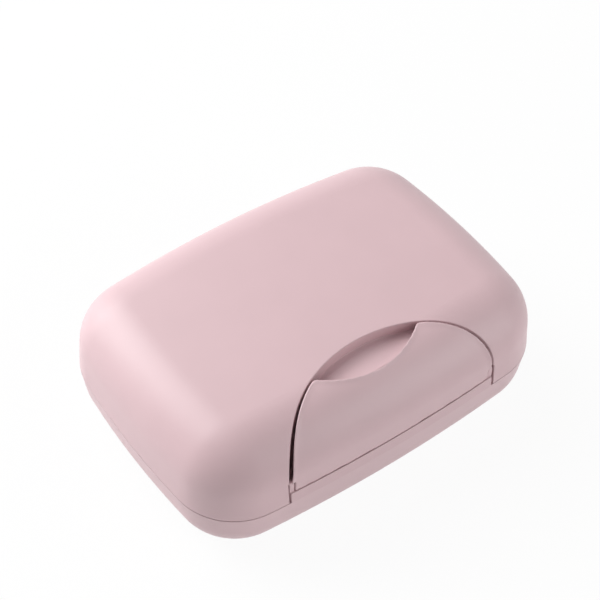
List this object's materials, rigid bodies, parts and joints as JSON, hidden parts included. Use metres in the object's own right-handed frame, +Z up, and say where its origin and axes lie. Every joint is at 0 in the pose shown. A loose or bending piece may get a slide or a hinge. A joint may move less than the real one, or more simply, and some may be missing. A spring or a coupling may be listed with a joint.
{
  "type": "travel soap box",
  "caption": "Travel soap box with a domed hinged lid, a bowl-shaped tray, a curved front latch flap with a thumb notch, a seal ring and a lift-out drain rack.",
  "frame": {"origin": "middle of the flat bottom that the box stands on", "axes": "+Z up, +X along the box's length, the latch flap at the front towards -Y and the lid hinge at the back towards +Y"},
  "size_m": [0.11, 0.0841, 0.0402],
  "materials": {
    "shell_plastic": "satin dusty pink, fine moulded grain",
    "pin_steel": "drawn stainless wire",
    "seal_rubber": "pale silicone",
    "rack_plastic": "satin dusty pink, a shade lighter than the shell"
  },
  "bodies": {
    "base": {"base_tray": "shell_plastic", "latch_pin": "pin_steel", "hinge_pin_left": "pin_steel", "hinge_pin_right": "pin_steel", "seal_ring": "seal_rubber"},
    "lid": {"lid_shell": "shell_plastic"},
    "flap": {"latch_flap": "shell_plastic"},
    "rack": {"drain_rack": "rack_plastic"}
  },
  "joints": [
    {"name": "lid_hinge", "type": "hinge", "parent": "base", "child": "lid", "pos_m": [0, 0.0422, 0.01713], "axis": [-1, 0, 0], "range_deg": [0, 105]},
    {"name": "latch_hinge", "type": "hinge", "parent": "base", "child": "flap", "pos_m": [0, -0.03707, 0.02295], "axis": [1, 0, 0], "range_deg": [0, 95]},
    {"name": "rack_lift", "type": "slide", "parent": "base", "child": "rack", "axis": [0, 0, 1], "range_m": [0, 0.0185]}
  ]
}
